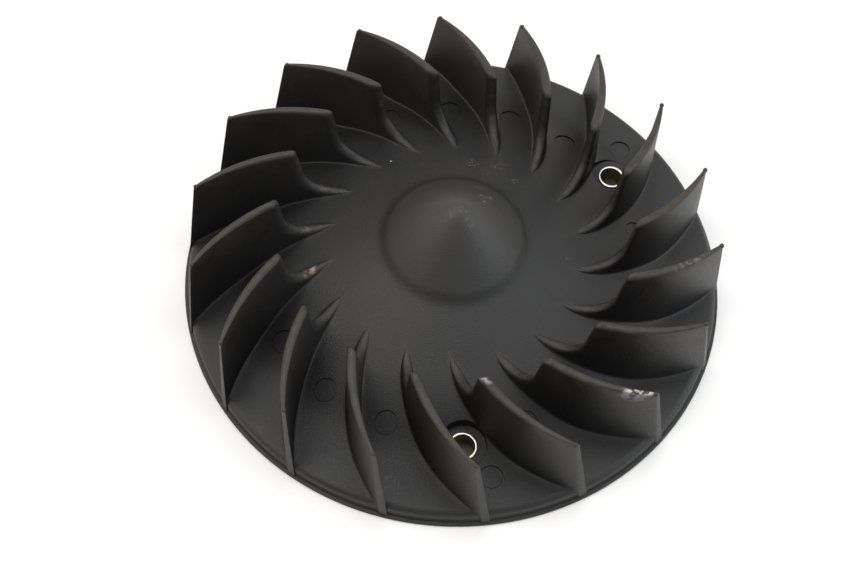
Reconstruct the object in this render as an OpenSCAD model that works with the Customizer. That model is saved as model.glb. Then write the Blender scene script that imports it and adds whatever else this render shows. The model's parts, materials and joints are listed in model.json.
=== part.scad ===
// Cooling-fan wheel of a small air-cooled engine, which bolts to the face of the flywheel rotor.
// The black moulding is a closed back plate with a conical nose and a ring of curved blades.
// The plate and the blades are drawn as separate solids that meet face to face at the blade roots.
// Three short metal sleeves stand in the plate and take the clamping load of the bolts.
// Origin: on the axis, in the plane that the rim rests on. +Z points out through the nose.

/* [Wheel] */
// Diameter over the rim's lip
wheel_d = 159; // [157:1:165]
// Height of the nose's tip above the plane that the rim rests on
nose_h = 33.5; // [31:0.5:36]
// Height of the back plate's flat face above the same plane
disc_h = 4.9; // [4.8:0.1:5.1]
// Wall thickness of the back plate, the hub and the nose
shell_t = 2.6; // [2:0.1:3]

/* [Nose and hub] */
// Radius of the crease between the nose and the hub
crease_r = 21.6; // [21:0.1:22.2]
// Height of the crease
crease_h = 17.4; // [17:0.1:18]
// How round the nose's tip is: 1 is nearly a point
nose_round = 5.5; // [1:0.5:9]
// Slope of the hub outside the crease
hub_slope = 16.5; // [15:0.5:17]
// Radius where the hub begins to ease into the flat face
knee_r = 50; // [49:0.5:52]
// Radius where the flat face begins
flat_r = 67; // [66.5:0.5:68]

/* [Rim] */
// Width of the thin lip around the foot of the rim
lip_w = 1; // [0.8:0.1:1.2]
// Thickness of the lip
lip_t = 1; // [0.9:0.1:1.2]
// Lean of the rim's outer wall
rim_lean = 20; // [16:1:22]
// Rounding between the flat face and the rim's outer wall
shoulder_r = 1.2; // [0.8:0.1:1.4]

/* [Blades] */
// Number of blades, a multiple of three so that each sleeve lies between two blades
blade_count = 18; // [15:3:18]
// Radius of the blade's curve as seen from the nose
blade_curve_r = 54; // [50:1:60]
// Radius where a blade's low tail starts on the hub
tail_r = 35.7; // [34:0.1:37]
// Angle around the axis from a blade's tail to its outer end
blade_sweep = 28.4; // [26:0.2:30]
// Thickness at the root, at the tail
root_tail_t = 3.2; // [2.8:0.1:3.6]
// Thickness at the root, half-way along the blade
root_mid_t = 3.9; // [3.7:0.1:4.2]
// Thickness at the root, at the outer end
root_end_t = 1.4; // [1.3:0.1:1.8]
// Draft of each blade face, in degrees
draft = 1.5; // [1.2:0.05:1.6]
// Height of the blade's inner top corner
inner_top_h = 31.3; // [29:0.1:33]
// Height of the blade's outer tip
tip_h = 29.7; // [27:0.1:31]
// Radius of the blade's outer tip
tip_r = 74; // [72:0.5:76]

/* [Sleeves] */
// Diameter of the circle that the three sleeves lie on
bolt_circle_d = 117.4; // [116:0.1:119]
// Inside diameter of a sleeve
sleeve_bore_d = 6.6; // [6.2:0.1:6.8]
// Outside diameter of a sleeve
sleeve_d = 8; // [7.8:0.1:8.4]
// Length of a sleeve
sleeve_l = 5.4; // [5.2:0.05:5.6]
// Diameter of the recess around a sleeve
recess_d = 12.7; // [12:0.1:12.9]
// Height of the recess floor above the plane that the rim rests on
recess_h = 4.85; // [4.6:0.05:4.85]

/* [Underside] */
// Diameter of the boss around a sleeve
boss_d = 16.4; // [15:0.2:16.8]
// Thickness of the ring rib and of the webs
web_t = 2; // [1.6:0.1:2.4]
// Height of the foot of the ring rib and of the webs
web_foot_h = 1; // [0.6:0.1:1.6]
// Radius of the ring rib's outer face
ring_rib_r = 49.5; // [49:0.1:50]

/* [Hidden] */
SLEEVE_COUNT = 3;
MARK_D = 6.5;           // pin marks that the mould left between the blades
MARK_DEPTH = 0.3;
MARK_R = 56;            // in a plain gap
MARK_SLEEVE_R = 67.9;   // in a gap that holds a sleeve
BOSS_FOOT_H = 0.15;     // the boss stops short, so that the sleeve carries the load
SKIRT_T = 2.4;          // wall thickness of the rim's skirt at its foot
EDGE = 0.4;             // bevel on the lip's upper edge
FOOT_EDGE = 0.3;        // bevel on the lip's lower edge
TAIL_DROP = 0.25;       // how far the tail's ridge comes down before it sweeps up
TAIL_CUT = 0.8;         // how far the blade's curve starts inside the tail
SWOOP_R = 8;            // the hollow curve from the tail's ridge up to the leading edge
LEAD_R = 48.9;          // radius of the leading edge at its foot
LEAD_LEAN = 0.9;        // how far the leading edge leans outwards
CORNER_R = 1.6;         // rounding of the inner top corner
SINK = 0.5;             // how far a boss or web runs into the plate

$fn = 96;

wheel_r = wheel_d / 2;
bolt_r = bolt_circle_d / 2;
pitch = 360 / blade_count;
blade_end_r = wheel_r - lip_w / 2;
lip_in_r = wheel_r - lip_w;

function polar(r, a) = r * [cos(a), sin(a)];
function arc(c, r, from, to, n) = [for (i = [0:n]) c + polar(r, from + (to - from) * i / n)];
function bezier(a, b, c, d, n) = [
    for (i = [0:n]) let (t = i / n, s = 1 - t)
        s*s*s * a + 3*s*s*t * b + 3*s*t*t * c + t*t*t * d
];

// ---- outline of the top face, as points [radius, height] from the axis outwards ----
// The nose is a cone with a rounded tip: this is its drop from the tip, as a share of the whole
function nose_drop(r, foot_r) =
    (norm([r, nose_round]) - nose_round) / (norm([foot_r, nose_round]) - nose_round);
function hub_h(r) = crease_h - (r - crease_r) * tan(hub_slope);

knee_reach = 0.4 * (flat_r - knee_r);
knee = bezier(
    [knee_r, hub_h(knee_r)],
    [knee_r + knee_reach, hub_h(knee_r + knee_reach)],
    [flat_r - knee_reach, disc_h],
    [flat_r, disc_h],
    8
);
// Height of the hub and of the flat face at radius r, and their slope there
function plate_h(r) = r < knee_r ? hub_h(r) : lookup(r, knee);
function plate_slope(r) = atan2(plate_h(r - 1) - plate_h(r + 1), 2);

shoulder_c = [
    lip_in_r - (disc_h - shoulder_r + shoulder_r * sin(rim_lean) - lip_t) * tan(rim_lean)
        - shoulder_r * cos(rim_lean),
    disc_h - shoulder_r
];
top_outline = concat(
    [for (i = [0:12]) let (r = crease_r * i / 12)
        [r, nose_h - (nose_h - crease_h) * nose_drop(r, crease_r)]],
    knee,
    arc(shoulder_c, shoulder_r, 90, rim_lean, 4),
    [[lip_in_r, lip_t], [wheel_r - EDGE, lip_t], [wheel_r, lip_t - EDGE],
        [wheel_r, FOOT_EDGE]]
);

// ---- outline of the underside, from the rim inwards. The hollow follows the hub and the nose ----
hub_drop = shell_t / cos(hub_slope);
ring_rib_in_r = ring_rib_r - web_t;
skirt_in_r = wheel_r - lip_w - SKIRT_T;
ceiling_h = disc_h - shell_t;
hollow_r = crease_r - shell_t;
hollow_h = hub_h(hollow_r) - hub_drop;
underside_outline = concat(
    [
        [wheel_r - FOOT_EDGE, 0],
        [skirt_in_r, 0],
        [skirt_in_r, ceiling_h],
        [ring_rib_r, ceiling_h],
        [ring_rib_r, web_foot_h],
        [ring_rib_in_r, web_foot_h],
        [ring_rib_in_r, hub_h(ring_rib_in_r) - hub_drop]
    ],
    [for (i = [10:-1:0]) let (r = hollow_r * i / 10)
        [r, nose_h - shell_t - (nose_h - shell_t - hollow_h) * nose_drop(r, hollow_r)]]
);

// ---- the blade's curve: an arc from the tail to the outer end, seen from the nose ----
tail = [tail_r - TAIL_CUT, 0];
end = polar(blade_end_r, blade_sweep);
chord = end - tail;
chord_l = norm(chord);
along = chord / chord_l;
across = [-along.y, along.x];    // towards the hollow side of the blade
sagitta_depth = sqrt(blade_curve_r * blade_curve_r - chord_l * chord_l / 4);
curve_c = (tail + end) / 2 + across * sagitta_depth;
curve_mid = curve_c - across * blade_curve_r;
tail_side = (curve_c - tail) / blade_curve_r;
end_side = (curve_c - end) / blade_curve_r;

// Angle around the axis at which the blade's curve crosses radius r
function blade_angle(r) =
    atan2(curve_c.y, curve_c.x)
    - acos((r * r + curve_c * curve_c - blade_curve_r * blade_curve_r) / (2 * r * norm(curve_c)));

// Circle through three points, as [x, y, radius]
function circle_through(a, b, c) =
    let (
        d = 2 * (a.x * (b.y - c.y) + b.x * (c.y - a.y) + c.x * (a.y - b.y)),
        x = ((a * a) * (b.y - c.y) + (b * b) * (c.y - a.y) + (c * c) * (a.y - b.y)) / d,
        y = ((a * a) * (c.x - b.x) + (b * b) * (a.x - c.x) + (c * c) * (b.x - a.x)) / d
    ) [x, y, norm(a - [x, y])];

// One face of the blade: -1 is the outer, bulging face and 1 is the inner, hollow one
function blade_face(side) = circle_through(
    tail + side * tail_side * root_tail_t / 2,
    curve_mid + side * across * root_mid_t / 2,
    end + side * end_side * root_end_t / 2
);
outer_face = blade_face(-1);
inner_face = blade_face(1);

// Gap i lies between blade i and the next one. Its middle turns with the blades' curve
function gap_angle(i, r) = (i + 0.5) * pitch + blade_angle(r) - blade_angle(bolt_r);
function sleeve_gap(k) = 1 + (k - 1) * blade_count / SLEEVE_COUNT;
function sleeve_angle(k) = gap_angle(sleeve_gap(k), bolt_r);
function mark_r(i) = i % (blade_count / SLEEVE_COUNT) == 1 ? MARK_SLEEVE_R : MARK_R;

// Half-section of one blade in a plane through the axis: it stands on the top face
ridge_h = hub_h(tail_r) - TAIL_DROP;
swoop_foot_r = LEAD_R - SWOOP_R;
blade_section = concat(
    [
        [tail_r, hub_h(tail_r)],
        [(tail_r + swoop_foot_r) / 2, ridge_h + TAIL_DROP / 4],
        [swoop_foot_r, ridge_h]
    ],
    arc([swoop_foot_r, ridge_h + SWOOP_R], SWOOP_R, 285, 355, 7),
    arc([LEAD_R + LEAD_LEAN + CORNER_R, inner_top_h - CORNER_R], CORNER_R, 175, 95, 4),
    [[tip_r, tip_h], [blade_end_r, lip_t]],
    [for (i = [len(top_outline) - 1:-1:0])
        let (p = top_outline[i]) if (p.x > tail_r && p.x < blade_end_r) p]
);

// ---- sub-parts ----

// Closed back plate with its nose, hub, rim, bosses, ring rib and webs
module back_plate() color("#232326") difference() {
    union() {
        rotate_extrude() polygon(concat(top_outline, underside_outline));
        for (k = [1:SLEEVE_COUNT]) rotate(sleeve_angle(k)) {
            boss();
            web();
            rotate(180 / SLEEVE_COUNT) web();
        }
    }
    for (k = [1:SLEEVE_COUNT]) rotate(sleeve_angle(k)) translate([bolt_r, 0, 0]) {
        translate([0, 0, -1]) cylinder(d = sleeve_d, h = nose_h);
        translate([0, 0, recess_h]) cylinder(d = recess_d, h = nose_h);
    }
    for (i = [1:blade_count]) rotate(gap_angle(i, mark_r(i))) pin_mark(mark_r(i));
}

// Shallow round mark, square to the face that it lies in
module pin_mark(r)
    translate([r, 0, plate_h(r)]) rotate([0, plate_slope(r), 0])
        translate([0, 0, -MARK_DEPTH]) cylinder(d = MARK_D, h = 2);

// Round foot under a sleeve's recess, sunk a little into the plate so that they are one solid
module boss()
    translate([bolt_r, 0, BOSS_FOOT_H])
        cylinder(d = boss_d, h = ceiling_h + SINK - BOSS_FOOT_H);

// Thin wall under the plate, from the ring rib to the skirt
module web()
    translate([ring_rib_r - web_t / 2, -web_t / 2, web_foot_h])
        cube([skirt_in_r + SINK - ring_rib_r + web_t / 2, web_t, ceiling_h + SINK - web_foot_h]);

// One curved blade, cut to its outline between two drafted faces
module blade(i) color("#2a2a2c") rotate(i * pitch - blade_angle(bolt_r)) intersection() {
    difference() {
        face_cone(outer_face, -1, 0);
        face_cone(inner_face, 1, 1);
    }
    rotate_extrude() polygon(blade_section);
}

// Drafted cone that carries one face of a blade. Its radius holds at the height of the flat face
module face_cone(face, side, margin) {
    low = -margin;
    high = nose_h + margin;
    translate([face.x, face.y, low])
        cylinder(
            h = high - low,
            r1 = face.z + side * (low - disc_h) * tan(draft),
            r2 = face.z + side * (high - disc_h) * tan(draft)
        );
}

// Metal tube that a bolt passes through
module sleeve(k) color("#c9c9c4") rotate(sleeve_angle(k)) translate([bolt_r, 0, 0])
    difference() {
        cylinder(d = sleeve_d, h = sleeve_l);
        translate([0, 0, -1]) cylinder(d = sleeve_bore_d, h = sleeve_l + 2);
    }

back_plate();
for (i = [1:blade_count]) blade(i);
for (k = [1:SLEEVE_COUNT]) sleeve(k);
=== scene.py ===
"""Looks of a small engine's cooling-fan wheel: black moulding with curved blades and three steel sleeves.

Lengths in the shape code are millimetres, and meshes are scaled to metres when they are made.
"""
import json
import math

import bmesh
import bpy
import numpy as np
from mathutils import Matrix, Vector
from mathutils.kdtree import KDTree


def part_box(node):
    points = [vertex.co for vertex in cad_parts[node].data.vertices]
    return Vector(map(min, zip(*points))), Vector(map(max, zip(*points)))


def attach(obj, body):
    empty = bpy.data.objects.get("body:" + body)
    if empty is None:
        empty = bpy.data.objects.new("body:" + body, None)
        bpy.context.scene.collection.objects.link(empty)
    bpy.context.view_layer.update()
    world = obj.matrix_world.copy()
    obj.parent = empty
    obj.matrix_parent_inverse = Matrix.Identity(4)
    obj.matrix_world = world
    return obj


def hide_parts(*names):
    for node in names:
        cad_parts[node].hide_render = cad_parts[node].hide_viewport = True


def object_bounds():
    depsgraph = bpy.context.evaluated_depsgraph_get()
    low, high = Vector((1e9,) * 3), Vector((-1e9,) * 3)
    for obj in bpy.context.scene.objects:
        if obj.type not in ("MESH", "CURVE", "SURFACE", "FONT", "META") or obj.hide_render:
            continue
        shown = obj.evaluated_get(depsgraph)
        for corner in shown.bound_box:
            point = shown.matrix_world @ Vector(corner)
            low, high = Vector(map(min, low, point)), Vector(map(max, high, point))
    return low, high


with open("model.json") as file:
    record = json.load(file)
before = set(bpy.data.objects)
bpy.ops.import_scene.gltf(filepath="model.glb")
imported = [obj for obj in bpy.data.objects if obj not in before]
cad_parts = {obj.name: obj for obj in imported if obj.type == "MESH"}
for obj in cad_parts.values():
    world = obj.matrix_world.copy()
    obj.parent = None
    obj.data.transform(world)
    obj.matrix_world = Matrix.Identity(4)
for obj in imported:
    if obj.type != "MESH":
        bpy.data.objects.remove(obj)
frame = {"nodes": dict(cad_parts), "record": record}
cad_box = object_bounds()

MM = 0.001
TAU = 2 * math.pi

# ---- sizes taken from the frame ----
NODES = sorted(frame["nodes"])
BLADES = [n for n in NODES if n.startswith("blade_")]
SLEEVES = [n for n in NODES if n.startswith("sleeve_")]
BOLTS = next(m for m in frame["record"]["mounts"] if m["name"] == "bolt_circle")
WHEEL_R = (cad_box[1].x - cad_box[0].x) / 2 / MM
NOSE_H = cad_box[1].z / MM
BOLT_R = BOLTS["dims"]["pcd_mm"] / 2
BORE_R = BOLTS["dims"]["hole_r_mm"]
PITCH = TAU / len(BLADES)

# ---- the back plate's top face ----
DISC_H = 4.9
SHELL_T = 2.6
CREASE_R = 21.6
CREASE_H = 17.4
CREASE_REACH = 2.6
NOSE_ROUND = 5.5
HUB_SLOPE = math.radians(16.5)
KNEE_R = 50.0
FLAT_R = 67.0
KNEE_REACH = 0.4 * (FLAT_R - KNEE_R)
LIP_W = 1.0
LIP_T = 1.0
LIP_FILLET = 0.7
RIM_LEAN = math.radians(8)
SHOULDER_R = 2.0
LIP_IN_R = WHEEL_R - LIP_W

# ---- the blades ----
BLADE_CURVE_R = 54.0
TAIL_R = 35.7
TAIL_CUT = 0.8          # how far the blade's curve starts inside the tail
BLADE_SWEEP = math.radians(28.4)
ROOT_TAIL_T = 3.2
ROOT_MID_T = 3.9
ROOT_END_T = 1.4
DRAFT = math.tan(math.radians(1.5))
LEAN = math.tan(math.radians(4))
LEAN_FREE_R = 50.0      # the blade shifts along itself here, so that this part stays upright
INNER_TOP_H = 31.3
TIP_H = 29.7
TIP_R = 74.0
BLADE_END_R = WHEEL_R - LIP_W / 2
LEAD_R = 48.9
LEAD_LEAN = 0.9
SWOOP_R = 8.0
SWOOP_FROM_R = LEAD_R - SWOOP_R
CORNER_R = 1.6
TIP_ROUND = 0.4
TIP_ROUND_IN = 0.45     # how far the centre of the tip's rounding lies inside the tip
TIP_ROUND_DOWN = 0.42
NUB_R = 0.68
NUB_IN = 0.35
NUB_DOWN = 0.45
ROOT_FILLET = 0.7
TAIL_DROP = 0.25
TAIL_FLARE = 0.42

# ---- sleeves, recesses and pin marks ----
SLEEVE_R = 4.0
SLEEVE_L = 5.4
SLEEVE_CHAMFER = 0.22
RECESS_R = 6.35
RECESS_H = 4.85
MOUTH_GAP = 0.12        # how much wider the recess and the sleeve's hole are at their mouths
MARK_R = 3.25
MARK_DEPTH = 0.3
MARK_AT_R = 56.0
MARK_BY_SLEEVE_AT_R = 67.9

# ---- underside ----
SKIRT_T = 2.4
LIP_EDGE_R = 0.35
FOOT_EDGE = 0.3
CEILING_FILLET = 1.0
RIB_FILLET = 0.8
SINK = 0.5              # how far a boss or web runs into the plate
BOSS_R = 8.2
BOSS_FOOT_H = 0.15
WEB_T = 2.0
WEB_FOOT_T = 1.5
WEB_FOOT_H = 1.0
RING_RIB_R = 49.5
CEILING_H = DISC_H - SHELL_T
SKIRT_IN_R = WHEEL_R - LIP_W - SKIRT_T

# ---- wear ----
EDGE_WEAR_WIDTH = 1.7
# White rubs on top edges: blade, from radius, to radius, strength
TOP_RUBS = [(15, 67.3, 73.5, 1.0), (17, 61, 69, 0.16), (14, 50.2, 52.8, 0.5)]
# Bare, browned patches on tails: blade, from radius, to radius, strength
TAIL_RUBS = [(10, 40.0, 44.5, 1.0), (9, 41.5, 46.0, 0.35), (8, 42, 46, 0.25)]
# Pale scuffs on the nose and hub: radius, angle in degrees, size, strength
SCUFFS = [
    (2.5, 250, 1.6, 1.0),
    (1.8, 342, 1.6, 0.8),
    (16.0, 61, 2.2, 0.8),
    (11.6, 45, 2.4, 1.0),
    (9.8, 33, 1.8, 0.8),
    (13.4, 41, 2.0, 0.8),
    (5.0, 310, 2.2, 0.45),
    (29.0, 77, 3.4, 0.4),
    (31.5, 62, 3.6, 0.4),
    (26.6, 66, 2.6, 0.3),
    (28.6, 48, 1.5, 0.5),
    (23.2, 243.6, 1.1, 0.5),
    (32.9, 350.6, 1.2, 0.5),
]
SPECK = (35.6, 119.8, 0.45)


# ======================================================================================================
# Plane curves, as arrays of points [radius, height]
# ======================================================================================================
def arc(centre, radius, start, end, count):
    """Points on an arc, with angles in degrees."""
    angles = np.radians(np.linspace(start, end, count + 1))
    return np.array(centre) + radius * np.stack([np.cos(angles), np.sin(angles)], 1)


def line(a, b, count):
    """Points from a to b, both ends included."""
    share = np.linspace(0, 1, count + 1)[:, None]
    return (1 - share) * np.array(a, float) + share * np.array(b, float)


def bezier(a, b, c, d, count):
    """Points on a cubic curve from a to d, pulled towards b and c."""
    t = np.linspace(0, 1, count + 1)[:, None]
    s = 1 - t
    a, b, c, d = (np.array(p, float) for p in (a, b, c, d))
    return s**3 * a + 3 * s * s * t * b + 3 * s * t * t * c + t**3 * d


def joined(*parts):
    """One path from several that follow each other; a shared end point is kept once."""
    path = [parts[0]]
    for part in parts[1:]:
        same = np.allclose(path[-1][-1], part[0], atol=1e-4)
        path.append(part[1:] if same else part)
    return np.concatenate(path)


def smooth(x):
    """An even step from 0 to 1 as x goes from 0 to 1."""
    x = np.clip(x, 0, 1)
    return x * x * (3 - 2 * x)


# ---- the top face from the axis outwards ----
def cone_path(tip_h, foot_r, foot_h, stop_r, count):
    """A cone with a rounded tip, from the axis to radius stop_r. It passes through (foot_r, foot_h)."""
    r = np.linspace(0, stop_r, count + 1)
    drop = (np.hypot(r, NOSE_ROUND) - NOSE_ROUND) / (math.hypot(foot_r, NOSE_ROUND) - NOSE_ROUND)
    return np.stack([r, tip_h - (tip_h - foot_h) * drop], 1)


def hub_h(r):
    """Height of the hub's straight slope at radius r."""
    return CREASE_H - (r - CREASE_R) * math.tan(HUB_SLOPE)


KNEE = bezier(
    (KNEE_R, hub_h(KNEE_R)),
    (KNEE_R + KNEE_REACH, hub_h(KNEE_R + KNEE_REACH)),
    (FLAT_R - KNEE_REACH, DISC_H),
    (FLAT_R, DISC_H),
    30,
)
SHOULDER_C = np.array([
    LIP_IN_R
    - (DISC_H - SHOULDER_R + SHOULDER_R * math.sin(RIM_LEAN) - LIP_T) * math.tan(RIM_LEAN)
    - SHOULDER_R * math.cos(RIM_LEAN),
    DISC_H - SHOULDER_R,
])
SHOULDER_ARC = arc(SHOULDER_C, SHOULDER_R, 90, math.degrees(RIM_LEAN), 6)


def plate_h(r):
    """Height of the top face at radius r, from the tail of the blades to the shoulder."""
    r = np.asarray(r, float)
    return np.where(r < KNEE_R, hub_h(r), np.interp(r, KNEE[:, 0], KNEE[:, 1]))


def inner_rows():
    """The top face from the axis to the blades' tails."""
    nose = cone_path(NOSE_H, CREASE_R, CREASE_H, CREASE_R - CREASE_REACH, 16)
    crease = (CREASE_R, CREASE_H)
    stop = (CREASE_R + CREASE_REACH, hub_h(CREASE_R + CREASE_REACH))
    return joined(
        nose,
        bezier(nose[-1], crease, crease, stop, 6),
        line(stop, (TAIL_R, hub_h(TAIL_R)), 9),
    )[1:-1]


# ======================================================================================================
# One blade: its two faces as seen from the nose, and its side outline
# ======================================================================================================
def circle_through(a, b, c):
    """Centre and radius of the circle through three points."""
    a, b, c = (np.array(p, float) for p in (a, b, c))
    d = 2 * (a[0] * (b[1] - c[1]) + b[0] * (c[1] - a[1]) + c[0] * (a[1] - b[1]))
    x = (a @ a * (b[1] - c[1]) + b @ b * (c[1] - a[1]) + c @ c * (a[1] - b[1])) / d
    y = (a @ a * (c[0] - b[0]) + b @ b * (a[0] - c[0]) + c @ c * (b[0] - a[0])) / d
    return np.array([x, y]), math.hypot(a[0] - x, a[1] - y)


def blade_plan():
    """The blade's curve and its two faces, each as (centre, radius)."""
    tail = np.array([TAIL_R - TAIL_CUT, 0])
    end = BLADE_END_R * np.array([math.cos(BLADE_SWEEP), math.sin(BLADE_SWEEP)])
    along = (end - tail) / np.linalg.norm(end - tail)
    across = np.array([-along[1], along[0]])
    half_chord = np.linalg.norm(end - tail) / 2
    centre = (tail + end) / 2 + across * math.sqrt(BLADE_CURVE_R**2 - half_chord**2)
    middle = centre - across * BLADE_CURVE_R
    faces = []
    for side in (-1, 1):
        shifted = []
        for point, thick in ((tail, ROOT_TAIL_T), (middle, ROOT_MID_T), (end, ROOT_END_T)):
            inward = (centre - point) / BLADE_CURVE_R
            shifted.append(point + side * inward * thick / 2)
        faces.append(circle_through(*shifted))
    return (centre, BLADE_CURVE_R), faces[0], faces[1]


MID_LINE, OUTER_FACE, INNER_FACE = blade_plan()


def crossing(x, y, radius, r):
    """Angle about the axis at which a circle with its centre at (x, y) crosses radius r."""
    far = np.hypot(x, y)
    cosine = (r * r + far * far - radius * radius) / (2 * r * far)
    return np.arctan2(y, x) - np.arccos(np.clip(cosine, -1, 1))


def lean_direction():
    """The way a blade's curve shifts with height: along the blade at LEAN_FREE_R.

    The inner part so stays upright, and the blade leans more and more towards its outer end.
    """
    centre, radius = MID_LINE
    angle = crossing(*centre, radius, LEAN_FREE_R)
    inward = (centre - LEAN_FREE_R * np.array([math.cos(angle), math.sin(angle)])) / radius
    return np.array([-inward[1], inward[0]])


LEAN_WAY = lean_direction()


def face_angle(face, side, r, z):
    """Angle about the axis at which a drafted, leaning blade face crosses radius r at height z."""
    centre, radius = face
    radius = radius + side * (z - DISC_H) * DRAFT
    x = centre[0] + LEAN_WAY[0] * LEAN * (z - DISC_H)
    y = centre[1] + LEAN_WAY[1] * LEAN * (z - DISC_H)
    return crossing(x, y, radius, r)


def blade_middle(r, z):
    """Angle half-way between a blade's two faces at radius r and height z."""
    return (face_angle(INNER_FACE, 1, r, z) + face_angle(OUTER_FACE, -1, r, z)) / 2


def mid_angle(r):
    """Angle of the blade's curve at radius r and at the height of the flat face."""
    return face_angle(MID_LINE, 0, r, DISC_H)


def squareness(r):
    """Share of a step around the axis that goes square across the blade."""
    centre, radius = MID_LINE
    far = np.hypot(*centre)
    cosine = (r * r + radius * radius - far * far) / (2 * r * radius)
    return np.sqrt(1 - cosine * cosine)


def gap_angle(i, r):
    """Middle of the gap between blade i and the next."""
    return (i + 0.5) * PITCH + mid_angle(r) - mid_angle(BOLT_R)


def turned(path, side):
    """Unit normals of a path: side 1 is to the left of its direction, and -1 to the right."""
    step = np.gradient(path, axis=0)
    step /= np.linalg.norm(step, axis=1)[:, None]
    return side * np.stack([-step[:, 1], step[:, 0]], 1)


def end_edge(z):
    """Points on the straight outer end of a blade at these heights."""
    z = np.asarray(z, float)
    r = BLADE_END_R + (TIP_R - BLADE_END_R) * (z - LIP_T) / (TIP_H - LIP_T)
    return np.stack([r, z], 1)


def side_rows():
    """Rows across a blade: foot on the plate, top on the blade's edge, and how the edge is rounded.

    The last two arrays are the share of the half thickness that is rounded, and how deep the rounding goes.
    """
    reach = SWOOP_FROM_R - TAIL_R
    along = reach * np.linspace(0, 1, 17) ** 1.2
    tail_z = hub_h(TAIL_R) - TAIL_DROP * (2 * along / reach - (along / reach) ** 2)
    tail = np.stack([TAIL_R + along, tail_z], 1)
    swoop = arc(tail[-1] + (0, SWOOP_R), SWOOP_R, 270, 355, 14)
    corner = arc((LEAD_R + LEAD_LEAN + CORNER_R, INNER_TOP_H - CORNER_R), CORNER_R, 175, 94, 8)
    tip = arc((TIP_R - TIP_ROUND_IN, TIP_H - TIP_ROUND_DOWN), TIP_ROUND, 86, 12, 5)
    end = end_edge(np.linspace(tip[-1][1], DISC_H + 0.5, 15))
    corner_in = np.array([LIP_IN_R, LIP_T])
    wall_foot = corner_in + LIP_FILLET * np.array([-math.sin(RIM_LEAN), math.cos(RIM_LEAN)])
    lip_start = corner_in + (0.6 * LIP_FILLET, 0)
    rim = joined(
        SHOULDER_ARC,
        line(SHOULDER_ARC[-1], wall_foot, 4),
        bezier(wall_foot, corner_in, corner_in, lip_start, 3),
        line(lip_start, (BLADE_END_R, LIP_T), 2),
    )
    end_heights = [DISC_H + 0.1, rim[6][1] + 0.2, LIP_T + 0.3, LIP_T]
    rim_top = end_edge(np.interp(np.arange(len(rim)), [0, 6, 12, 15], end_heights))
    # each part: top path, radius at which its foot ends, share that is rounded, and the rounding's depth
    parts = [
        (tail, SWOOP_FROM_R, 0.92, 1.5),
        (swoop, LEAD_R - 0.6, 0.9, 1.35),
        (line(swoop[-1], corner[0], 9), LEAD_R + 1.6, 0.9, 1.35),
        (corner, LEAD_R + 3.4, 0.88, 1.25),
        (line(corner[-1], tip[0], 26), TIP_R - 0.6, 0.6, 0.32),
        (tip, TIP_R + 0.5, 0.3, 0.2),
        (end, SHOULDER_C[0] - 0.1, 0.16, 0.2),
    ]
    tops = [tail[:1]]
    feet = [TAIL_R]
    shares = [0.95]
    depths = [2.0]
    for path, foot_r, share, depth in parts:
        if np.allclose(path[0], tops[-1][-1], atol=1e-3):
            path = path[1:]
        count = len(path)
        tops.append(path)
        feet += list(np.linspace(feet[-1], foot_r, count + 1)[1:])
        shares += list(np.linspace(shares[-1], share, count + 1)[1:])
        depths += list(np.linspace(depths[-1], depth, count + 1)[1:])
    feet[: len(tail)] = list(tail[:, 0])
    feet = np.array(feet)
    foot = np.concatenate([np.stack([feet, plate_h(feet)], 1), rim])
    top = np.concatenate(tops + [rim_top])
    shares = np.array(shares + [0.16] * len(rim))
    depths = np.array(depths + [0.2] * len(rim))
    return foot, top, shares, depths


def lip_rows():
    """The lip's outer edge and the underside, from the blade's end to the axis."""
    hub_drop = SHELL_T / math.cos(HUB_SLOPE)
    rib_in_r = RING_RIB_R - WEB_T
    hollow_r = CREASE_R - SHELL_T
    hollow_h = hub_h(hollow_r) - hub_drop
    rib_fillet_r = rib_in_r - RIB_FILLET
    hollow_start_r = hollow_r + 1.2
    return joined(
        arc((WHEEL_R - LIP_EDGE_R, LIP_T - LIP_EDGE_R), LIP_EDGE_R, 90, 0, 5),
        line((WHEEL_R, FOOT_EDGE), (WHEEL_R - FOOT_EDGE, 0), 1),
        line((SKIRT_IN_R + FOOT_EDGE, 0), (SKIRT_IN_R, FOOT_EDGE), 1),
        line((SKIRT_IN_R, CEILING_H - CEILING_FILLET - 0.2), (SKIRT_IN_R, CEILING_H - CEILING_FILLET), 1),
        arc((SKIRT_IN_R - CEILING_FILLET, CEILING_H - CEILING_FILLET), CEILING_FILLET, 0, 90, 5),
        line((RING_RIB_R + 1, CEILING_H), (RING_RIB_R + 0.4, CEILING_H), 1),
        arc((RING_RIB_R + RIB_FILLET, CEILING_H - RIB_FILLET), RIB_FILLET, 100, 180, 4),
        line((RING_RIB_R - 0.1, WEB_FOOT_H + FOOT_EDGE), (RING_RIB_R - 0.4, WEB_FOOT_H), 1),
        line((rib_in_r + 0.4, WEB_FOOT_H), (rib_in_r + 0.1, WEB_FOOT_H + FOOT_EDGE), 1),
        line(
            (rib_in_r, hub_h(rib_in_r) - hub_drop - RIB_FILLET),
            (rib_fillet_r, hub_h(rib_fillet_r) - hub_drop),
            2,
        ),
        line((hollow_start_r, hub_h(hollow_start_r) - hub_drop), (hollow_r, hollow_h), 2),
        cone_path(NOSE_H - SHELL_T, hollow_r, hollow_h, hollow_r, 12)[::-1],
    )[:-1]


# ======================================================================================================
# The moulding as one closed grid: rows from the axis outwards and back, columns around it
# ======================================================================================================
EDGE_STEPS = 5
WALL_STEPS = 5
FILLET_STEPS = 5
GAP_STEPS = 8


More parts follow.
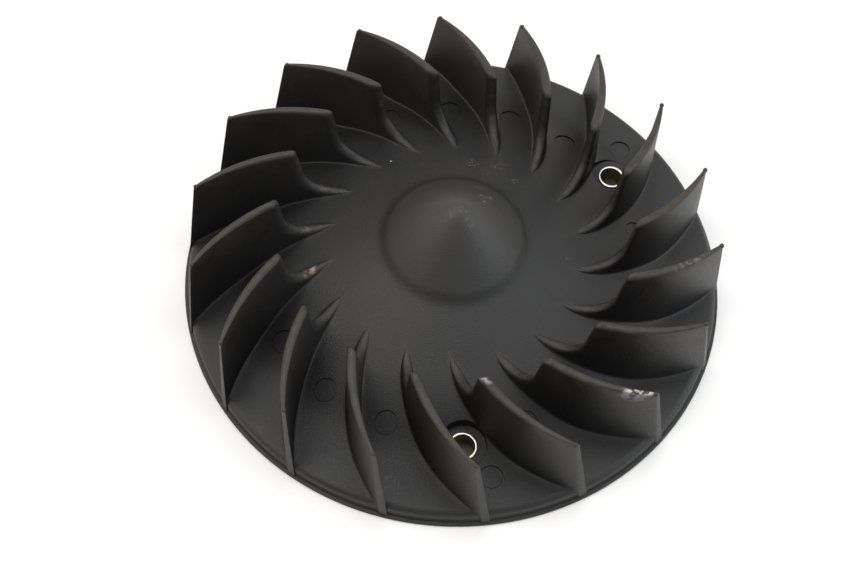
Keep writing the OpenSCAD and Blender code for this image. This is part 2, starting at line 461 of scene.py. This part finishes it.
def blade_side(side, foot, foot_up, top, top_in, shares, depths):
    """Angles, radii and heights from a blade's ridge down to its foot, for every row. side is 1 or -1."""
    span = np.linalg.norm(top - foot, axis=1)
    fillet = np.minimum(ROOT_FILLET, 0.3 * span)
    depth = np.minimum(depths, 0.7 * span)
    tail = foot[:, 0] - TAIL_R + 0.12

    def half(r, z):
        """Half the thickness in millimetres, pointed towards the tail."""
        width = face_angle(INNER_FACE, 1, r, z) - face_angle(OUTER_FACE, -1, r, z)
        thick = width / 2 * r * squareness(r)
        return thick * np.tanh(TAIL_FLARE * tail / thick)

    points = []
    rounding = shares * half(top[:, 0], top[:, 1])
    for phi in np.linspace(math.pi / 2, 0, EDGE_STEPS):
        at = top + top_in * (depth * (1 - math.sin(phi)))[:, None]
        points.append((at, -rounding * (1 - math.cos(phi))))
    wall_top = top + top_in * depth[:, None]
    wall_foot = foot + foot_up * fillet[:, None]
    for share in np.linspace(0, 1, WALL_STEPS + 2)[1:-1]:
        points.append(((1 - share) * wall_top + share * wall_foot, 0))
    for theta in np.linspace(math.pi / 2, 0, FILLET_STEPS):
        at = foot + foot_up * (fillet * (1 - math.cos(theta)))[:, None]
        points.append((at, fillet * (1 - math.sin(theta))))
    columns = []
    for at, beside in points:
        r, z = at[:, 0], at[:, 1]
        angle = blade_middle(r, z) + side * (half(r, z) + beside) / (r * squareness(r))
        columns.append((angle, r, z))
    return [np.stack(x, 1) for x in zip(*columns)]


def blade_rows():
    """Angle, radius and height of every grid point in the rows that cross the blades, for one pitch."""
    foot, top, shares, depths = side_rows()
    foot_up = turned(foot, 1)
    top_in = turned(top, -1)
    args = (foot, foot_up, top, top_in, shares, depths)
    left = blade_side(1, *args)
    right = [x[:, ::-1] for x in blade_side(-1, *args)]
    right[0] = right[0] + PITCH
    centre = blade_middle(top[:, 0], top[:, 1])
    share = np.linspace(0, 1, GAP_STEPS + 2)[1:-1]
    gap_a = left[0][:, -1:] * (1 - share) + right[0][:, :1] * share
    gap_r = np.repeat(foot[:, :1], GAP_STEPS, 1)
    gap_z = np.repeat(foot[:, 1:], GAP_STEPS, 1)
    angle = np.concatenate([centre[:, None], left[0], gap_a, right[0]], 1)
    radius = np.concatenate([top[:, :1], left[1], gap_r, right[1]], 1)
    height = np.concatenate([top[:, 1:], left[2], gap_z, right[2]], 1)
    return angle - mid_angle(BOLT_R), radius, height


def moulding_grid():
    """Every row of the closed moulding: angle, radius and height, for the whole turn."""
    angle, radius, height = blade_rows()
    columns = angle.shape[1]
    inner = inner_rows()
    spread = smooth((TAIL_R - inner[:, 0]) / 14)[:, None]
    even = angle[0, 0] + np.arange(columns)[None, :] * PITCH / columns
    inner_a = (1 - spread) * angle[:1] + spread * even
    under = lip_rows()
    under_a = np.repeat(angle[-1:], len(under), 0)
    inner_r, inner_z = (np.repeat(inner[:, n:n + 1], columns, 1) for n in (0, 1))
    under_r, under_z = (np.repeat(under[:, n:n + 1], columns, 1) for n in (0, 1))
    angle = np.concatenate([inner_a, angle, under_a])
    radius = np.concatenate([inner_r, radius, under_r])
    height = np.concatenate([inner_z, height, under_z])
    turns = [angle + i * PITCH for i in range(len(BLADES))]
    return np.concatenate(turns, 1), np.tile(radius, len(BLADES)), np.tile(height, len(BLADES))


def mesh_object(name, vertices, faces):
    """A mesh object from points in millimetres."""
    mesh = bpy.data.meshes.new(name)
    mesh.from_pydata((np.asarray(vertices) * MM).tolist(), [], faces)
    mesh.validate()
    obj = bpy.data.objects.new(name, mesh)
    bpy.context.scene.collection.objects.link(obj)
    return obj


def around(angle, radius, height):
    """Points from angles, radii and heights."""
    return np.stack([radius * np.cos(angle), radius * np.sin(angle), height], -1)


def grid_faces(rows, columns):
    """Quads of a grid whose columns close in a ring."""
    faces = []
    for j in range(rows - 1):
        low, high = j * columns, (j + 1) * columns
        for i in range(columns):
            n = (i + 1) % columns
            faces.append((low + i, high + i, high + n, low + n))
    return faces


def moulding_mesh():
    """The plate and its blades as one closed mesh, before bosses, recesses and marks."""
    angle, radius, height = moulding_grid()
    rows, columns = angle.shape
    points = around(angle, radius, height).reshape(-1, 3)
    points = np.concatenate([points, [[0, 0, NOSE_H], [0, 0, NOSE_H - SHELL_T]]])
    faces = grid_faces(rows, columns)
    top, bottom = rows * columns, rows * columns + 1
    last = (rows - 1) * columns
    for i in range(columns):
        n = (i + 1) % columns
        faces.append((i, n, top))
        faces.append((last + n, last + i, bottom))
    return mesh_object("fan_moulding", points, faces)


def lathe(name, outline, steps, at):
    """A closed solid turned about a vertical axis from an outline that starts and ends on that axis."""
    angles = np.arange(steps) * TAU / steps
    ring = np.array(outline[1:-1], float)
    points = [around(angles, np.full(steps, r), np.full(steps, z)) for r, z in ring]
    points = np.concatenate(points + [[[0, 0, outline[0][1]], [0, 0, outline[-1][1]]]])
    points[:, :2] += at
    faces = grid_faces(len(ring), steps)
    start, stop = len(ring) * steps, len(ring) * steps + 1
    last = (len(ring) - 1) * steps
    for i in range(steps):
        n = (i + 1) % steps
        faces.append((n, start, i))
        faces.append((last + i, stop, last + n))
    return mesh_object(name, points, faces)


def outward(obj):
    """Turns every face of a closed mesh outwards."""
    work = bmesh.new()
    work.from_mesh(obj.data)
    bmesh.ops.recalc_face_normals(work, faces=work.faces)
    work.to_mesh(obj.data)
    work.free()
    return obj


def apply_boolean(obj, tools, operation):
    """Joins tools to obj, or cuts them out of it, and removes the tools."""
    for tool in tools:
        outward(tool)
        step = obj.modifiers.new("step", "BOOLEAN")
        step.operation = operation
        step.solver = "MANIFOLD"
        step.object = tool
    graph = bpy.context.evaluated_depsgraph_get()
    done = bpy.data.meshes.new_from_object(obj.evaluated_get(graph))
    obj.modifiers.clear()
    old = obj.data
    obj.data = done
    bpy.data.meshes.remove(old)
    for tool in tools:
        bpy.data.objects.remove(tool)
    return obj


def shade(obj, sharp_degrees):
    """Smooth shading with sharp edges above an angle."""
    mesh = obj.data
    mesh.polygons.foreach_set("use_smooth", [True] * len(mesh.polygons))
    mesh.set_sharp_from_angle(angle=math.radians(sharp_degrees))


def ridge_points():
    """Points along the ridge of every blade, in millimetres, with the number of their blade."""
    angle, radius, height = (grid[:, 0] for grid in blade_rows())
    for i in range(1, len(BLADES) + 1):
        for point in around(angle + i * PITCH, radius, height):
            yield i, point


def add_wear(obj):
    """Per-vertex masks for the material: worn edges, white rubs and bare patches."""
    ridge = list(ridge_points())
    tree = KDTree(len(ridge))
    for n, (_, point) in enumerate(ridge):
        tree.insert(Vector(point), n)
    tree.balance()
    masks = {"edge_wear": [], "white_rub": [], "brown_rub": []}
    for vertex in obj.data.vertices:
        place = vertex.co / MM
        _, n, distance = tree.find(place)
        blade = ridge[n][0]
        edge = float(smooth(1 - distance / EDGE_WEAR_WIDTH))
        r = math.hypot(place.x, place.y)
        masks["edge_wear"].append(edge)
        masks["white_rub"].append(edge * rub_strength(TOP_RUBS, blade, r) * (place.z > TIP_H - 3))
        masks["brown_rub"].append(edge * rub_strength(TAIL_RUBS, blade, r) * (place.z < DISC_H + 9))
    for name, values in masks.items():
        obj.data.attributes.new(name, "FLOAT", "POINT").data.foreach_set("value", values)


def rub_strength(rubs, blade, r):
    """How strong a rub is on a blade at a radius; it fades out over a millimetre at both ends."""
    strengths = [
        strength * float(smooth(r - start) * smooth(stop - r))
        for number, start, stop, strength in rubs
        if number == blade
    ]
    return max(strengths, default=0.0)


def mark_places():
    """Where the pin marks lie, one in the middle of each gap."""
    for i in range(1, len(BLADES) + 1):
        r = mark_radius(i)
        a = gap_angle(i, r)
        yield r * math.cos(a), r * math.sin(a)


GAPS_BETWEEN_SLEEVES = len(BLADES) // len(SLEEVES)


def sleeve_places():
    """Where the sleeves stand, from the CAD."""
    places = []
    for name in SLEEVES:
        low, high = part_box(name)
        places.append((name, (low.x + high.x) / 2 / MM, (low.y + high.y) / 2 / MM))
    return places


def build_moulding():
    """The whole moulding with its bosses, webs, recesses and pin marks."""
    obj = outward(moulding_mesh())
    places = sleeve_places()
    joins = []
    for _, x, y in places:
        joins.append(lathe("boss", boss_outline(), 64, (x, y)))
        joins += [web(math.atan2(y, x)), web(math.atan2(y, x) + math.pi / len(SLEEVES))]
    for i in range(len(BLADES)):
        joins.append(nub(i))
    apply_boolean(obj, joins, "UNION")
    cuts = []
    for _, x, y in places:
        cuts.append(draped(lathe("recess", recess_outline(), 96, (x, y)), RECESS_H + 0.05))
        cuts.append(lathe("way", way_outline(), 64, (x, y)))
    for x, y in mark_places():
        cuts.append(draped(lathe("mark", mark_outline(), 48, (x, y)), 0))
    apply_boolean(obj, cuts, "DIFFERENCE")
    add_wear(obj)
    shade(obj, 38)
    return obj


def draped(tool, above):
    """Lifts a cutter's points above a height by as much as the plate below them stands above its flat."""
    for vertex in tool.data.vertices:
        if vertex.co.z > above * MM:
            r = math.hypot(vertex.co.x, vertex.co.y) / MM
            vertex.co.z += (float(plate_h(r)) - DISC_H) * MM
    return tool


def mark_radius(i):
    """Radius of the pin mark in gap i; it lies further out in a gap that holds a sleeve."""
    return MARK_BY_SLEEVE_AT_R if i % GAPS_BETWEEN_SLEEVES == 1 else MARK_AT_R


def boss_outline():
    """The round foot under a sleeve's recess, with a bevelled lower edge."""
    foot = BOSS_FOOT_H
    top = CEILING_H + SINK
    return [(0, foot), (BOSS_R - 0.5, foot), (BOSS_R - 0.2, foot + 0.3), (BOSS_R, top), (0, top)]


def recess_outline():
    """The round recess that a sleeve's top stands in."""
    top = DISC_H + ROOT_FILLET + 0.6
    return [
        (0, RECESS_H),
        (RECESS_R - 0.25, RECESS_H),
        (RECESS_R, RECESS_H + 0.04),
        (RECESS_R + MOUTH_GAP, DISC_H + 0.07),
        (RECESS_R + MOUTH_GAP, top),
        (0, top),
    ]


def way_outline():
    """The hole that a sleeve stands in, with a thin gap at its mouth."""
    top = RECESS_H + 0.5
    return [(0, -1), (SLEEVE_R, -1), (SLEEVE_R, RECESS_H - 0.25), (SLEEVE_R + MOUTH_GAP, top), (0, top)]


def mark_outline():
    """A shallow pin mark with a fine groove around its floor."""
    low = DISC_H - MARK_DEPTH
    return [
        (0, low),
        (MARK_R - 0.25, low),
        (MARK_R - 0.2, low - 0.15),
        (MARK_R, low - 0.15),
        (MARK_R, DISC_H - 0.03),
        (MARK_R + 0.04, DISC_H + 0.2),
        (0, DISC_H + 0.2),
    ]


def nub(i):
    """The small ball of plastic at the outer top corner of blade i."""
    r = TIP_R - NUB_IN
    z = TIP_H - NUB_DOWN
    angle = blade_middle(r, z) + i * PITCH - mid_angle(BOLT_R)
    turns = np.linspace(0, math.pi, 11)[1:-1]
    side = [(NUB_R * math.sin(t), z + NUB_R * math.cos(t)) for t in turns]
    outline = [(0.0, z + NUB_R)] + side + [(0.0, z - NUB_R)]
    return lathe("nub", outline, 20, (r * math.cos(angle), r * math.sin(angle)))


def web(angle):
    """A thin radial wall under the plate, narrower at its foot."""
    foot = WEB_FOOT_T / 2
    head = WEB_T / 2
    low, high = WEB_FOOT_H, CEILING_H + SINK
    turn = Matrix.Rotation(angle, 3, "Z")
    points = []
    for r in (RING_RIB_R - head, SKIRT_IN_R + SINK):
        for y, z in ((-foot, low), (foot, low), (head, high), (-head, high)):
            points.append(turn @ Vector((r, y, z)))
    faces = [(3, 2, 1, 0), (4, 5, 6, 7)]
    for i in range(4):
        n = (i + 1) % 4
        faces.append((i, n, n + 4, i + 4))
    return mesh_object("web", points, faces)


def build_sleeve(node, x, y):
    """A steel tube with small chamfers at both ends, and a mask for its bore."""
    chamfer = SLEEVE_CHAMFER
    outline = [
        (BORE_R, chamfer),
        (BORE_R + chamfer, 0),
        (SLEEVE_R - chamfer, 0),
        (SLEEVE_R, chamfer),
        (SLEEVE_R, SLEEVE_L - chamfer),
        (SLEEVE_R - chamfer * 0.3, SLEEVE_L - chamfer * 0.3),
        (SLEEVE_R - chamfer, SLEEVE_L),
        (BORE_R + chamfer, SLEEVE_L),
        (BORE_R + chamfer * 0.3, SLEEVE_L - chamfer * 0.3),
        (BORE_R, SLEEVE_L - chamfer),
        (BORE_R, SLEEVE_L / 2),
    ]
    steps = 96
    angles = np.arange(steps) * TAU / steps
    points = np.concatenate([around(angles, np.full(steps, r), np.full(steps, z)) for r, z in outline])
    points[:, :2] += (x, y)
    faces = grid_faces(len(outline), steps)
    last = (len(outline) - 1) * steps
    for i in range(steps):
        n = (i + 1) % steps
        faces.append((last + i, i, n, last + n))
    obj = outward(mesh_object(node.replace("sleeve", "steel_sleeve"), points, faces))
    reach = BORE_R + 0.02
    inside = [float(math.hypot(v.co.x / MM - x, v.co.y / MM - y) < reach) for v in obj.data.vertices]
    obj.data.attributes.new("bore", "FLOAT", "POINT").data.foreach_set("value", inside)
    shade(obj, 30)
    return obj


# ======================================================================================================
# Materials
# ======================================================================================================
def new_material(name):
    """A material with its nodes, its links and its shader."""
    material = bpy.data.materials.new(name)
    material.use_nodes = True
    nodes = material.node_tree.nodes
    return material, nodes, material.node_tree.links, nodes["Principled BSDF"]


def math_node(nodes, links, operation, *values):
    """A Math node; each value is a number or another node's output. Returns its output."""
    node = nodes.new("ShaderNodeMath")
    node.operation = operation
    for socket, value in zip(node.inputs, values):
        if isinstance(value, (int, float)):
            socket.default_value = value
        else:
            links.new(value, socket)
    return node.outputs["Value"]


def noise(nodes, links, where, scale, detail, low=0.0, high=1.0):
    """Noise between low and high of its range, stretched to 0 to 1."""
    texture = nodes.new("ShaderNodeTexNoise")
    texture.inputs["Scale"].default_value = scale
    texture.inputs["Detail"].default_value = detail
    links.new(where, texture.inputs["Vector"])
    return ranged(nodes, links, texture.outputs["Fac"], low, high, 0, 1)


def ranged(nodes, links, value, low, high, to_low, to_high):
    """Eases a value from one range into another."""
    node = nodes.new("ShaderNodeMapRange")
    node.interpolation_type = "SMOOTHSTEP"
    for name, number in (("From Min", low), ("From Max", high), ("To Min", to_low), ("To Max", to_high)):
        node.inputs[name].default_value = number
    links.new(value, node.inputs["Value"])
    return node.outputs["Result"]


def blend_colour(nodes, links, share, first, second):
    """Mixes two colours; each is a tuple or another node's output."""
    node = nodes.new("ShaderNodeMix")
    node.data_type = "RGBA"
    links.new(share, node.inputs["Factor"])
    for socket, colour in ((node.inputs[6], first), (node.inputs[7], second)):
        if isinstance(colour, tuple):
            socket.default_value = (*colour, 1)
        else:
            links.new(colour, socket)
    return node.outputs[2]


def vertex_mask(nodes, name):
    """A per-vertex value of the mesh."""
    node = nodes.new("ShaderNodeAttribute")
    node.attribute_name = name
    return node.outputs["Fac"]


def spot(nodes, links, plan, r, degrees, size):
    """A soft round mask on the plan view, 1 at its middle. Lengths are millimetres."""
    a = math.radians(degrees)
    node = nodes.new("ShaderNodeVectorMath")
    node.operation = "DISTANCE"
    links.new(plan, node.inputs[0])
    node.inputs[1].default_value = (r * math.cos(a) * MM, r * math.sin(a) * MM, 0)
    return ranged(nodes, links, node.outputs["Value"], 0, size * MM, 1, 0)


BLACK = (0.0115, 0.0115, 0.012)
CLOUDED_BLACK = (0.0165, 0.016, 0.016)
# A paler tone over the whole nose
PALE_NOSE = (0.03, 0.0295, 0.029)
CREASE_BLACK = (0.0135, 0.0135, 0.0135)
# Painted light: a warm brownish tone on the upper, outer parts of the blades
WARM_LIGHT_BROWN = (0.026, 0.021, 0.016)
EDGE_GREY = (0.036, 0.033, 0.029)
DUST_GREY = (0.06, 0.06, 0.058)
SCUFF_GREY = (0.2, 0.2, 0.2)
BARE_BROWN = (0.3, 0.23, 0.17)
RUB_WHITE = (0.5, 0.5, 0.48)
FLECK_TAN = (0.6, 0.5, 0.45)


def plastic():
    """Black moulding: fine grain, cloudy gloss, painted warm light up the blades, worn edges, rubs, scuffs
    and dust.
    """
    material, nodes, links, shader = new_material("moulded_black_plastic")
    where = nodes.new("ShaderNodeTexCoord").outputs["Object"]
    flatten = nodes.new("ShaderNodeVectorMath")
    flatten.operation = "MULTIPLY"
    flatten.inputs[1].default_value = (1, 1, 0)
    links.new(where, flatten.inputs[0])
    plan = flatten.outputs["Vector"]
    distance = nodes.new("ShaderNodeVectorMath")
    distance.operation = "LENGTH"
    links.new(plan, distance.inputs[0])
    radius = distance.outputs["Value"]

    cloud = noise(nodes, links, where, 55, 4, 0.3, 0.7)
    grain = noise(nodes, links, where, 2700, 2, 0.3, 0.7)
    scratches = noise(nodes, links, where, 1500, 6, 0.52, 0.64)
    dust = noise(nodes, links, where, 1700, 1, 0.76, 0.8)
    crease_in = ranged(nodes, links, radius, (CREASE_R - 3) * MM, (CREASE_R - 0.8) * MM, 0, 1)
    crease_out = ranged(nodes, links, radius, (CREASE_R - 0.8) * MM, (CREASE_R + 2.4) * MM, 1, 0)
    # Paler over the whole nose, fading out towards the crease
    nose_paling = ranged(nodes, links, radius, (CREASE_R - 3) * MM, CREASE_R * MM, 1, 0)
    crease = math_node(nodes, links, "MULTIPLY", crease_in, crease_out)

    height = nodes.new("ShaderNodeSeparateXYZ")
    links.new(where, height.inputs["Vector"])
    # Painted light: a warm brownish tone that grows up the blades towards their tops and outer ends
    on_blade = ranged(nodes, links, height.outputs["Z"], (DISC_H + 5) * MM, TIP_H * MM, 0, 1)
    outside = ranged(nodes, links, radius, (LEAD_R - 2) * MM, (LEAD_R + 10) * MM, 0, 1)
    painted_warm_light = math_node(nodes, links, "MULTIPLY", on_blade, outside)
    painted_warm_light = math_node(nodes, links, "MULTIPLY", painted_warm_light, noise(nodes, links, where, 140, 5, 0.3, 0.65))

    scuffs = None
    for r, degrees, size, strength in SCUFFS:
        one = math_node(nodes, links, "MULTIPLY", spot(nodes, links, plan, r, degrees, size), strength)
        scuffs = one if scuffs is None else math_node(nodes, links, "MAXIMUM", scuffs, one)
    scuffs = math_node(nodes, links, "MULTIPLY", scuffs, scratches)
    edges = vertex_mask(nodes, "edge_wear")
    chips = noise(nodes, links, where, 420, 5, 0.35, 0.7)
    edge_share = math_node(nodes, links, "MULTIPLY", edges, chips)
    white_flakes = noise(nodes, links, where, 700, 6, 0.44, 0.56)
    white = math_node(nodes, links, "MULTIPLY", vertex_mask(nodes, "white_rub"), white_flakes)
    brown_flakes = noise(nodes, links, where, 800, 6, 0.4, 0.6)
    brown = math_node(nodes, links, "MULTIPLY", vertex_mask(nodes, "brown_rub"), brown_flakes)
    fleck = spot(nodes, links, plan, *SPECK)

    colour = blend_colour(nodes, links, cloud, BLACK, CLOUDED_BLACK)
    for share, tint in (
        (nose_paling, PALE_NOSE),
        (crease, CREASE_BLACK),
        (painted_warm_light, WARM_LIGHT_BROWN),
        (edge_share, EDGE_GREY),
        (dust, DUST_GREY),
        (scuffs, SCUFF_GREY),
        (brown, BARE_BROWN),
        (white, RUB_WHITE),
        (fleck, FLECK_TAN),
    ):
        colour = blend_colour(nodes, links, share, colour, tint)
    links.new(colour, shader.inputs["Base Color"])

    roughness = ranged(nodes, links, cloud, 0, 1, 0.36, 0.43)
    for share, more in ((grain, 0.12), (crease, 0.06), (edge_share, 0.08)):
        added = math_node(nodes, links, "MULTIPLY", share, more)
        roughness = math_node(nodes, links, "ADD", roughness, added)
    links.new(roughness, shader.inputs["Roughness"])

    bump = nodes.new("ShaderNodeBump")
    bump.inputs["Strength"].default_value = 0.5
    bump.inputs["Distance"].default_value = 0.00006
    links.new(grain, bump.inputs["Height"])
    links.new(bump.outputs["Normal"], shader.inputs["Normal"])
    shader.inputs["Specular IOR Level"].default_value = 0.4
    return material


# Each is the colour in the spots' dark parts and in their light parts
ZINC_BRIGHT = ((0.66, 0.65, 0.6), (0.84, 0.83, 0.79))
# The bore: olive tint of its plating, and darker as painted shade inside the tube
ZINC_OLIVE_SHADED = ((0.26, 0.265, 0.16), (0.36, 0.36, 0.23))


def zinc():
    """Bright zinc plating with small spots; the bore is olive from its plating, and darker with painted
    shade.
    """
    material, nodes, links, shader = new_material("bright_zinc_steel")
    shader.inputs["Metallic"].default_value = 1
    where = nodes.new("ShaderNodeTexCoord").outputs["Object"]
    spots = noise(nodes, links, where, 900, 2, 0.3, 0.7)
    bore = vertex_mask(nodes, "bore")
    bright = blend_colour(nodes, links, spots, *ZINC_BRIGHT)
    # The bore's colour: olive plating, darkened as painted shade
    olive_shaded = blend_colour(nodes, links, spots, *ZINC_OLIVE_SHADED)
    colour = blend_colour(nodes, links, bore, bright, olive_shaded)
    links.new(colour, shader.inputs["Base Color"])
    roughness = ranged(nodes, links, spots, 0, 1, 0.26, 0.38)
    dulling = math_node(nodes, links, "MULTIPLY", bore, 0.25)
    roughness = math_node(nodes, links, "ADD", roughness, dulling)
    links.new(roughness, shader.inputs["Roughness"])
    return material


# ======================================================================================================
# Floor, light and camera
# ======================================================================================================
TABLE_REACH = 3000
TABLE_WHITE = (0.88, 0.88, 0.88)
# Painted shade on the floor under the wheel
TABLE_PAINTED_SHADE = (0.1, 0.102, 0.065)


def floor():
    """A white table, with painted shade: under the wheel, where only the sleeves' bores give a view of it,
    it is dark olive.
    """
    far = TABLE_REACH
    corners = [(-far, -far, 0), (far, -far, 0), (far, far, 0), (-far, far, 0)]
    obj = mesh_object("floor", corners, [(0, 1, 2, 3)])
    material, nodes, links, shader = new_material("white_table")
    place = nodes.new("ShaderNodeVectorMath")
    place.operation = "LENGTH"
    links.new(nodes.new("ShaderNodeTexCoord").outputs["Object"], place.inputs[0])
    # Painted shade: the floor under the wheel is dark, as seen through the bores
    under = ranged(nodes, links, place.outputs["Value"], (BOLT_R + 5) * MM, (BOLT_R + 8) * MM, 1, 0)
    colour = blend_colour(nodes, links, under, TABLE_WHITE, TABLE_PAINTED_SHADE)
    links.new(colour, shader.inputs["Base Color"])
    shader.inputs["Roughness"].default_value = 0.6
    obj.data.materials.append(material)


# Soft light sources: azimuth from +X towards +Y, elevation, tightness, strength and colour
WARM = (1.0, 0.95, 0.88)
COOL = (0.9, 0.95, 1.0)
PLAIN = (1.0, 1.0, 1.0)
SOFT_SOURCES = [
    (92, 69, 24, 4.8, PLAIN),
    (166, 62, 20, 2.2, WARM),
    (15, 58, 18, 2.1, COOL),
    (195, 46, 9, 1.9, WARM),
    (345, 30, 12, 2.5, COOL),
    (277, 34, 10, 0.8, PLAIN),
]
HORIZON_ELEVATION = 8
HORIZON_TIGHTNESS = 14
HORIZON_STRENGTH = 1.3
SOFT_SOURCES += [
    (azimuth, HORIZON_ELEVATION, HORIZON_TIGHTNESS, HORIZON_STRENGTH, WARM) for azimuth in range(0, 181, 30)
]


def lights():
    """Soft light made of smooth lobes in the world; the camera sees a plain white backdrop."""
    world = bpy.data.worlds.new("soft_room")
    world.use_nodes = True
    nodes, links = world.node_tree.nodes, world.node_tree.links
    where = nodes.new("ShaderNodeTexCoord").outputs["Generated"]
    total = None
    for azimuth, elevation, tightness, strength, colour in SOFT_SOURCES:
        a, e = math.radians(azimuth), math.radians(elevation)
        facing = nodes.new("ShaderNodeVectorMath")
        facing.operation = "DOT_PRODUCT"
        facing.inputs[1].default_value = (math.cos(e) * math.cos(a), math.cos(e) * math.sin(a), math.sin(e))
        links.new(where, facing.inputs[0])
        front = math_node(nodes, links, "MAXIMUM", facing.outputs["Value"], 0)
        lobe = math_node(nodes, links, "POWER", front, tightness)
        glow = nodes.new("ShaderNodeVectorMath")
        glow.operation = "SCALE"
        glow.inputs[0].default_value = [strength * c for c in colour]
        links.new(lobe, glow.inputs["Scale"])
        if total is None:
            total = glow.outputs["Vector"]
            continue
        both = nodes.new("ShaderNodeVectorMath")
        links.new(total, both.inputs[0])
        links.new(glow.outputs["Vector"], both.inputs[1])
        total = both.outputs["Vector"]
    room = nodes["Background"]
    links.new(total, room.inputs["Color"])
    backdrop = nodes.new("ShaderNodeBackground")
    backdrop.inputs["Color"].default_value = (1, 1, 1, 1)
    mix = nodes.new("ShaderNodeMixShader")
    links.new(nodes.new("ShaderNodeLightPath").outputs["Is Camera Ray"], mix.inputs["Fac"])
    links.new(room.outputs["Background"], mix.inputs[1])
    links.new(backdrop.outputs["Background"], mix.inputs[2])
    links.new(mix.outputs["Shader"], nodes["World Output"].inputs["Surface"])
    bpy.context.scene.world = world
    bpy.context.scene.view_settings.view_transform = "Standard"


# The camera looks at VIEW_AIM from VIEW_DISTANCE, in metres, and is turned about the wheel's axis
VIEW_TURN = math.radians(-4.4)
VIEW_ELEVATION = math.radians(60.17)
VIEW_ROLL = 0.0463
VIEW_DISTANCE = 0.3305
VIEW_AIM = (-0.0064, -0.00733, 0.002)
VIEW_LENS = 46.7


def camera():
    """The main camera, in front of the wheel and above it."""
    data = bpy.data.cameras.new("camera")
    data.lens = VIEW_LENS
    data.sensor_width = 36
    data.clip_start = 0.01
    data.clip_end = 20
    obj = bpy.data.objects.new("camera", data)
    bpy.context.scene.collection.objects.link(obj)
    forward = Vector((0, math.cos(VIEW_ELEVATION), -math.sin(VIEW_ELEVATION)))
    up = Vector((0, math.sin(VIEW_ELEVATION), math.cos(VIEW_ELEVATION)))
    right = Vector((1, 0, 0))
    across = math.cos(VIEW_ROLL) * right + math.sin(VIEW_ROLL) * up
    upwards = -math.sin(VIEW_ROLL) * right + math.cos(VIEW_ROLL) * up
    pose = Matrix((across, upwards, -forward)).transposed().to_4x4()
    pose.translation = Vector(VIEW_AIM) - forward * VIEW_DISTANCE
    obj.matrix_world = Matrix.Rotation(VIEW_TURN, 4, "Z") @ pose
    bpy.context.scene.camera = obj


# ======================================================================================================
# The scene
# ======================================================================================================
moulding = build_moulding()
moulding.data.materials.clear()
moulding.data.materials.append(plastic())
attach(moulding, "root")
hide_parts("back_plate", *BLADES)

steel = zinc()
for node, x, y in sleeve_places():
    tube = build_sleeve(node, x, y)
    tube.data.materials.append(steel)
    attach(tube, "root")
    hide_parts(node)

floor()
lights()
camera()
